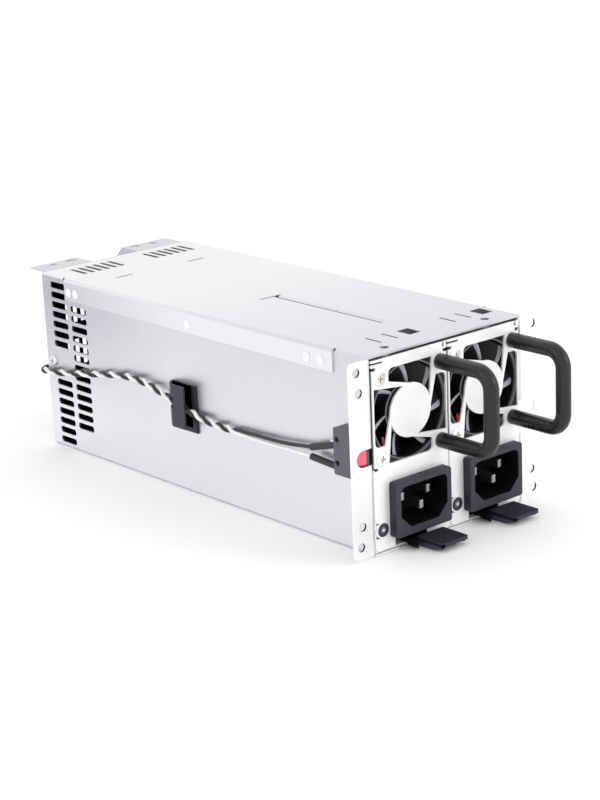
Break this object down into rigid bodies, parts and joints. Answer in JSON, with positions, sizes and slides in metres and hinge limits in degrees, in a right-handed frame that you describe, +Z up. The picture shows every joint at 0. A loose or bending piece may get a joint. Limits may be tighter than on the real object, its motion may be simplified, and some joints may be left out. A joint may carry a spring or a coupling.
{
  "type": "hot swap server power supply",
  "caption": "Sheet-steel cage holding slide-out power modules side by side, each with a front fan, tube handle, mains inlet, lamp and latch; reset switch on the left wall.",
  "frame": {"origin": "middle of the cage's bottom face, halfway between the cage's front and rear edges", "axes": "+Z up, +Y towards the rear, +X to the right seen from the front; the module faces look along -Y"},
  "size_m": [0.1034, 0.2583, 0.08],
  "materials": {
    "galvanised_steel": "satin galvanised sheet",
    "nickel_plated_steel": "bright plated sheet",
    "zinc_screw": "bright zinc",
    "yellow_zinc_screw": "pale yellow zinc",
    "black_plastic": "moulded, satin",
    "switch_black": "moulded, satin",
    "clip_black": "moulded, satin",
    "fan_black": "moulded, satin",
    "latch_black": "moulded, fine ribs",
    "handle_black": "gloss coated tube",
    "red_button": "gloss",
    "clear_lens": "clear",
    "tinned_metal": "tinned",
    "brass_terminal": "turned",
    "green_board": "solder mask",
    "white_connector": "moulded",
    "heat_shrink": "satin",
    "black_wire": "satin",
    "white_wire": "satin",
    "red_wire": "satin",
    "spring_steel": "polished strip",
    "heat_sink_aluminium": "extruded",
    "ferrite": "ground ferrite",
    "capacitor_sleeve": "shrink sleeve"
  },
  "bodies": {
    "cage": {"cage_shell": "galvanised_steel", "top_cover": "galvanised_steel", "cover_rivets": "galvanised_steel", "rear_panel": "galvanised_steel", "side_screws": "yellow_zinc_screw", "cable_outlet_bushing": "black_plastic", "backplane_bracket": "galvanised_steel", "backplane_board": "green_board", "backplane_sockets": "black_plastic", "backplane_screws": "zinc_screw", "output_terminals": "brass_terminal", "alarm_buzzer": "black_plastic", "reset_header": "white_connector", "reset_switch": "switch_black", "reset_switch_terminals": "tinned_metal", "heat_shrink_sleeves": "heat_shrink", "cable_clip": "clip_black", "reset_wire_pair": "black_wire", "black_lead": "black_wire", "white_lead": "white_wire"},
    "module_left": {"module_chassis_left": "nickel_plated_steel", "module_lid_left": "nickel_plated_steel", "lid_screws_left": "zinc_screw", "fan_frame_left": "fan_black", "fan_screws_left": "yellow_zinc_screw", "fan_lead_left": "red_wire", "handle_left": "handle_black", "inlet_housing_left": "black_plastic", "inlet_pins_left": "tinned_metal", "status_led_left": "clear_lens", "led_holder_left": "black_plastic", "latch_pin_left": "zinc_screw", "latch_spring_left": "spring_steel", "main_board_left": "green_board", "heat_sinks_left": "heat_sink_aluminium", "transformer_left": "ferrite", "bulk_capacitors_left": "capacitor_sleeve"},
    "latch_left": {"latch_lever_left": "latch_black"},
    "fan_rotor_left": {"fan_rotor_left": "fan_black"},
    "module_right": {"module_chassis_right": "nickel_plated_steel", "module_lid_right": "nickel_plated_steel", "lid_screws_right": "zinc_screw", "fan_frame_right": "fan_black", "fan_screws_right": "yellow_zinc_screw", "fan_lead_right": "red_wire", "handle_right": "handle_black", "inlet_housing_right": "black_plastic", "inlet_pins_right": "tinned_metal", "status_led_right": "clear_lens", "led_holder_right": "black_plastic", "latch_pin_right": "zinc_screw", "latch_spring_right": "spring_steel", "main_board_right": "green_board", "heat_sinks_right": "heat_sink_aluminium", "transformer_right": "ferrite", "bulk_capacitors_right": "capacitor_sleeve"},
    "latch_right": {"latch_lever_right": "latch_black"},
    "fan_rotor_right": {"fan_rotor_right": "fan_black"},
    "reset_button": {"reset_button": "red_button"}
  },
  "joints": [
    {"name": "module_left_slide", "type": "slide", "parent": "cage", "child": "module_left", "axis": [0, -1, 0], "range_m": [0, 0.21]},
    {"name": "latch_left_swing", "type": "hinge", "parent": "module_left", "child": "latch_left", "pos_m": [-0.0212, -0.0835, 0.0032], "axis": [0, 0, -1], "range_deg": [0, 9], "stiffness_Nm_per_rad": 0.06, "springref_deg": -4.58, "deforming": ["latch_spring_left"]},
    {"name": "fan_left_spin", "type": "hinge", "parent": "module_left", "child": "fan_rotor_left", "pos_m": [-0.0202, -0.0925, 0.0547], "axis": [0, 1, 0], "continuous": true},
    {"name": "module_right_slide", "type": "slide", "parent": "cage", "child": "module_right", "axis": [0, -1, 0], "range_m": [0, 0.21]},
    {"name": "latch_right_swing", "type": "hinge", "parent": "module_right", "child": "latch_right", "pos_m": [0.0192, -0.0835, 0.0032], "axis": [0, 0, -1], "range_deg": [0, 9], "stiffness_Nm_per_rad": 0.06, "springref_deg": -4.58, "deforming": ["latch_spring_right"]},
    {"name": "fan_right_spin", "type": "hinge", "parent": "module_right", "child": "fan_rotor_right", "pos_m": [0.0202, -0.0925, 0.0547], "axis": [0, 1, 0], "continuous": true},
    {"name": "reset_button_press", "type": "slide", "parent": "cage", "child": "reset_button", "axis": [0, 1, 0], "range_m": [0, 0.0012], "stiffness_N_per_m": 400, "springref_m": -0.0005}
  ]
}
